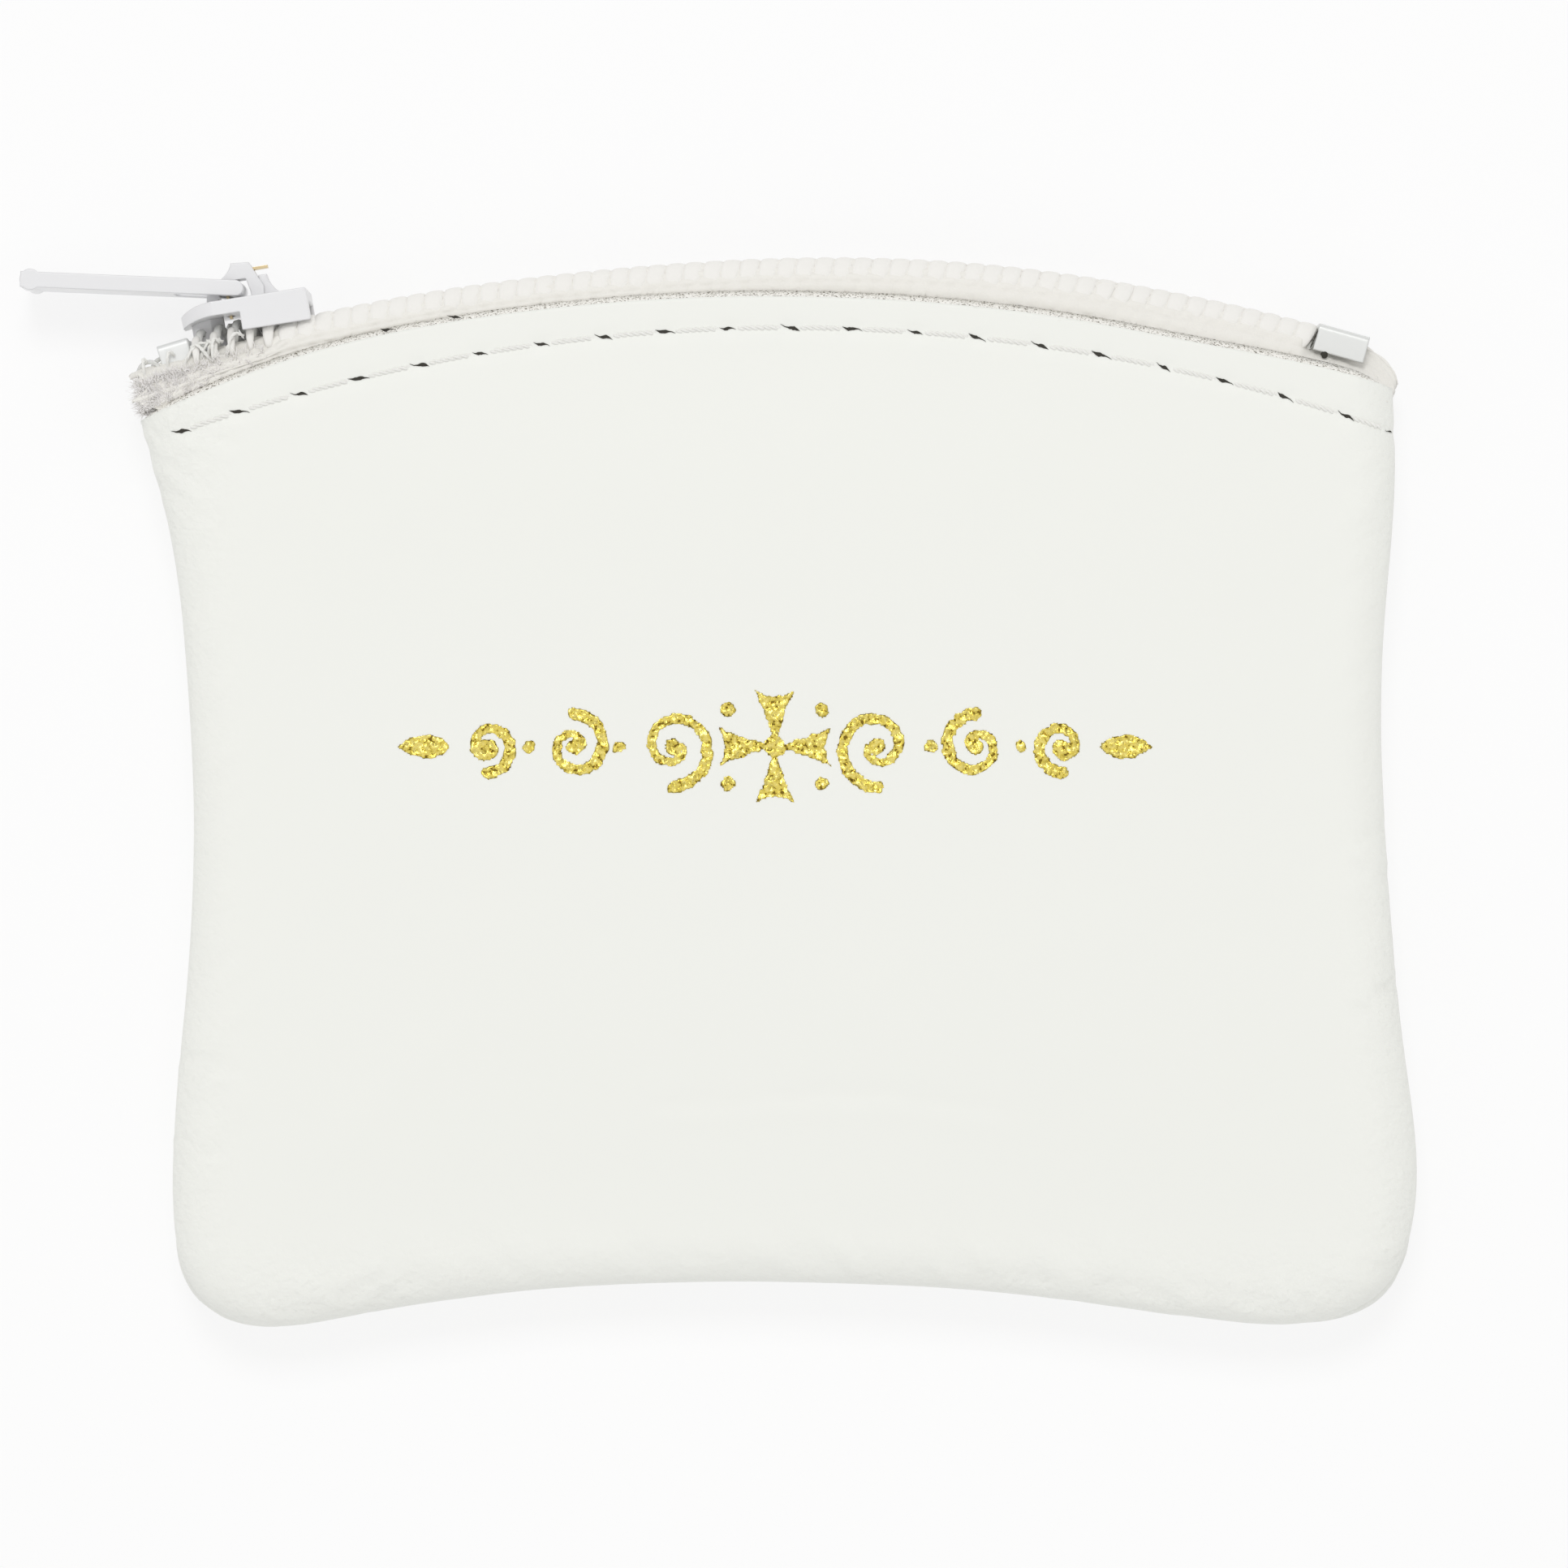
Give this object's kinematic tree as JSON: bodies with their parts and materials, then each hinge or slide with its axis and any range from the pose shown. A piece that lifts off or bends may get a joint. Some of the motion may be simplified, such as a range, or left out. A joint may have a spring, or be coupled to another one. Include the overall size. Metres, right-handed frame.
{
  "type": "zip pouch",
  "caption": "Small white leather zip pouch for prayer beads: two turned panels, an arched coil zip with slider and pull, topstitching and a gold foil ornament.",
  "frame": {"origin": "middle of the back panel's outer face, on which the pouch lies", "axes": "+X along the zip towards its closed end stop, +Y from the bottom seam to the zip, +Z out of the front panel"},
  "size_m": [0.0994, 0.0759, 0.0077],
  "materials": {
    "leather": "smooth white top-grain leather, semi-matt",
    "zip_tape": "woven polyester tape, creamy off-white",
    "coil": "translucent white nylon wire",
    "thread": "white twisted polyester thread",
    "foil": "hot-pressed gold foil on grained leather",
    "top_stop": "moulded pale plastic",
    "bottom_stop": "clamped bright metal clip",
    "spring": "brass leaf spring",
    "slider_enamel": "gloss white enamel over die-cast zinc"
  },
  "bodies": {
    "back": {"back_panel": "leather", "back_zip_tape": "zip_tape", "back_coil": "coil", "back_coil_cord": "thread", "back_coil_stitching": "thread", "back_topstitch_thread": "thread", "back_bobbin_thread": "thread", "back_seam_thread": "thread", "front_top_stop": "top_stop", "back_top_stop": "top_stop", "bottom_stop": "bottom_stop"},
    "front": {"front_panel": "leather", "front_zip_tape": "zip_tape", "front_coil": "coil", "front_coil_cord": "thread", "front_coil_stitching": "thread", "front_topstitch_thread": "thread", "front_bobbin_thread": "thread", "front_seam_thread": "thread", "foil_ornament": "foil"},
    "slider": {"slider_body": "slider_enamel", "slider_crown": "slider_enamel", "slider_lock_spring": "spring"},
    "pull": {"pull_tab": "slider_enamel"}
  },
  "joints": [
    {"name": "slider_travel", "type": "hinge", "parent": "back", "child": "slider", "pos_m": [-0.0015, -0.1107, 0.0038], "axis": [0, 0, -1], "range_deg": [0, 27], "deforming": ["front_zip_tape", "front_coil", "front_coil_cord", "front_coil_stitching", "back_zip_tape", "back_coil", "back_coil_cord", "back_coil_stitching"]},
    {"name": "mouth_opening", "type": "hinge", "parent": "back", "child": "front", "pos_m": [0, -0.0369, 0.0038], "axis": [1, 0, 0], "range_deg": [0, 10.5]},
    {"name": "pull_swing", "type": "hinge", "parent": "slider", "child": "pull", "pos_m": [-0.03966, 0.03723, 0.0038], "axis": [0, 0, -1], "range_deg": [-10, 165]}
  ],
  "couplings": [
    {"joint": "mouth_opening", "follows": "slider_travel", "ratio": 0.38889}
  ]
}
